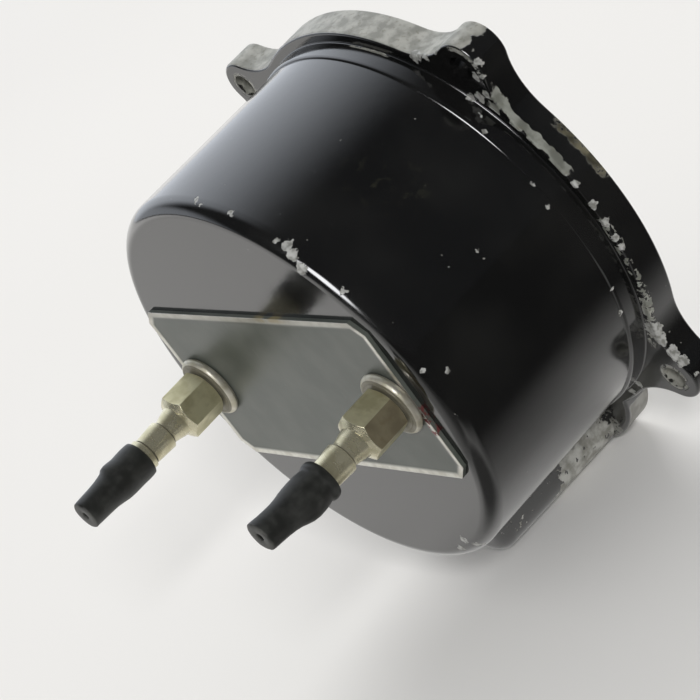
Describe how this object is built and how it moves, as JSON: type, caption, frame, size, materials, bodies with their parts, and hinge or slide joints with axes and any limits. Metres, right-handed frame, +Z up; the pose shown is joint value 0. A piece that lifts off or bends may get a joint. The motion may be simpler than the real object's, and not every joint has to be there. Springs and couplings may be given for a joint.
{
  "type": "vertical speed indicator",
  "caption": "Round panel instrument that shows rate of climb, with lugged flange, zero screw, two hose fittings at the back and capsule works inside.",
  "frame": {"origin": "centre of the flange's rear face, where it lies on the instrument panel", "axes": "-Y is the side the dial faces, +Y points back through the panel to the hose fittings, +Z is up with the nameplate upright, +X is right seen from the front"},
  "size_m": [0.0838, 0.0794, 0.0912],
  "materials": {
    "black_lacquer": "glossy black stoving lacquer, chipped to grey metal",
    "plate_grey": "satin",
    "tarnished_nickel": "nickel plate with a yellowish tarnish",
    "black_rubber": "matt",
    "window_glass": "clear",
    "black_ring": "matt black",
    "dial_black": "matt black",
    "pointer_white": "matt",
    "steel": "polished",
    "blued_steel": "blued",
    "copper": "drawn",
    "brass": "satin"
  },
  "bodies": {
    "case_body": {"case": "black_lacquer", "nameplate": "plate_grey", "static_port_washer": "tarnished_nickel", "vessel_port_washer": "tarnished_nickel", "static_port_nozzle": "tarnished_nickel", "vessel_port_nozzle": "tarnished_nickel", "static_port_nut": "brass", "vessel_port_nut": "brass", "glass": "window_glass", "glass_gasket": "black_rubber", "glass_ring": "black_ring", "dial": "dial_black", "dial_screws": "brass", "centre_post": "brass", "vessel_pipe": "copper", "capillary": "window_glass", "adjust_bush": "brass"},
    "works": {"front_plate": "brass", "middle_plate": "brass", "base_plate": "brass", "front_pillars": "brass", "rear_pillars": "brass", "front_screws": "steel", "rear_screws": "steel", "pointer_bridge": "brass", "shaft_brackets": "brass", "capsule_rear": "brass", "capsule_front": "brass", "hairspring": "blued_steel"},
    "pointer_set": {"pointer": "pointer_white", "pointer_shaft": "steel", "hairspring_collet": "brass"},
    "sector": {"sector_gear": "brass"},
    "rocker": {"rocking_shaft": "steel"},
    "boss": {"capsule_boss": "steel", "link_rod": "steel"},
    "zero_spindle": {"adjust_spindle": "tarnished_nickel"},
    "static_cap": {"static_port_cap": "black_rubber"},
    "vessel_cap": {"vessel_port_cap": "black_rubber"}
  },
  "joints": [
    {"name": "works_turn", "type": "hinge", "parent": "case_body", "child": "works", "pos_m": [0, 0.033, 0], "axis": [0, 1, 0], "range_deg": [-3.45, 3.45]},
    {"name": "zero_screw", "type": "hinge", "parent": "case_body", "child": "zero_spindle", "pos_m": [0, 0, -0.043], "axis": [0, 1, 0], "range_deg": [-12, 12]},
    {"name": "pointer_swing", "type": "hinge", "parent": "works", "child": "pointer_set", "pos_m": [0, 0, 0], "axis": [0, 1, 0], "range_deg": [-140, 140], "stiffness_Nm_per_rad": 0.0002},
    {"name": "sector_swing", "type": "hinge", "parent": "works", "child": "sector", "pos_m": [0.003, 0.01, -0.01653], "axis": [0, 1, 0], "range_deg": [-20, 20]},
    {"name": "rocker_swing", "type": "hinge", "parent": "works", "child": "rocker", "pos_m": [0.003, 0.01775, 0], "axis": [0, 0, 1], "range_deg": [-17, 17]},
    {"name": "capsule_stroke", "type": "slide", "parent": "works", "child": "boss", "axis": [0, -1, 0], "range_m": [-0.00088, 0.00088], "deforming": ["capsule_front"]},
    {"name": "static_cap_pull", "type": "slide", "parent": "case_body", "child": "static_cap", "axis": [0, 1, 0], "range_m": [0, 0.015]},
    {"name": "vessel_cap_pull", "type": "slide", "parent": "case_body", "child": "vessel_cap", "axis": [0, 1, 0], "range_m": [0, 0.015]}
  ],
  "couplings": [
    {"joint": "zero_screw", "follows": "works_turn", "ratio": -3.4783},
    {"joint": "pointer_swing", "follows": "capsule_stroke", "rad_per_m": 2786.1},
    {"joint": "sector_swing", "follows": "capsule_stroke", "rad_per_m": -398.01},
    {"joint": "rocker_swing", "follows": "capsule_stroke", "rad_per_m": 338.31}
  ]
}
